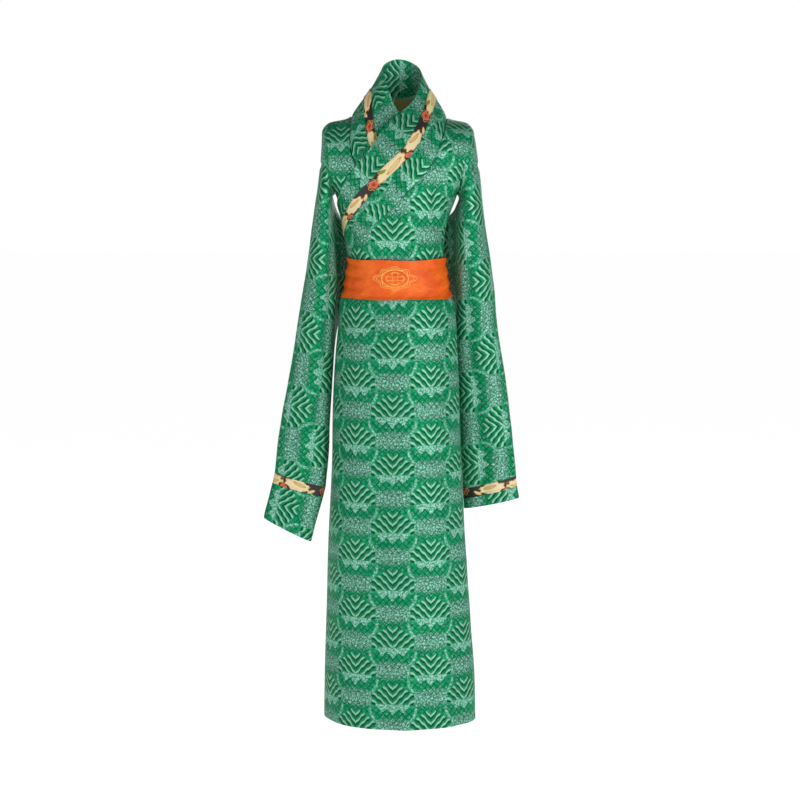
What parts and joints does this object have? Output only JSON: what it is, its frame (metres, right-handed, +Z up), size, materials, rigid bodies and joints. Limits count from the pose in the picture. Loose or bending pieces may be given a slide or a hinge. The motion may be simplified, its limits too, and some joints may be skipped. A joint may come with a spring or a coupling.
{
  "type": "tibetan chuba robe",
  "caption": "Full-length wrap-over brocade robe with a tall crossed collar, printed trim, long sleeves and a sash, filled out as when worn.",
  "frame": {"origin": "on the middle line, level with the shoulder tips, where the wearer's shoulders carry the robe", "axes": "+Z up, -Y the way the wearer faces, +X towards the wearer's left"},
  "size_m": [0.6191, 0.2647, 1.5831],
  "materials": {
    "brocade": "satin brocade",
    "printed_trim": "printed satin",
    "lining": "matte lining",
    "tape": "woven tape",
    "sash_satin": "satin"
  },
  "bodies": {
    "root": {"back_bodice": "brocade", "back_skirt": "brocade", "front_outer_bodice": "brocade", "front_outer_skirt": "brocade", "front_inner_bodice": "brocade", "front_inner_skirt": "brocade", "collar_band": "brocade", "sleeve_left_upper": "brocade", "sleeve_left_lower": "brocade", "sleeve_right_upper": "brocade", "sleeve_right_lower": "brocade", "cuff_left": "brocade", "cuff_right": "brocade", "collar_trim": "printed_trim", "cuff_trim_left": "printed_trim", "cuff_trim_right": "printed_trim", "neck_lining": "lining", "hanger_loop": "tape", "sash": "sash_satin"}
  },
  "joints": []
}
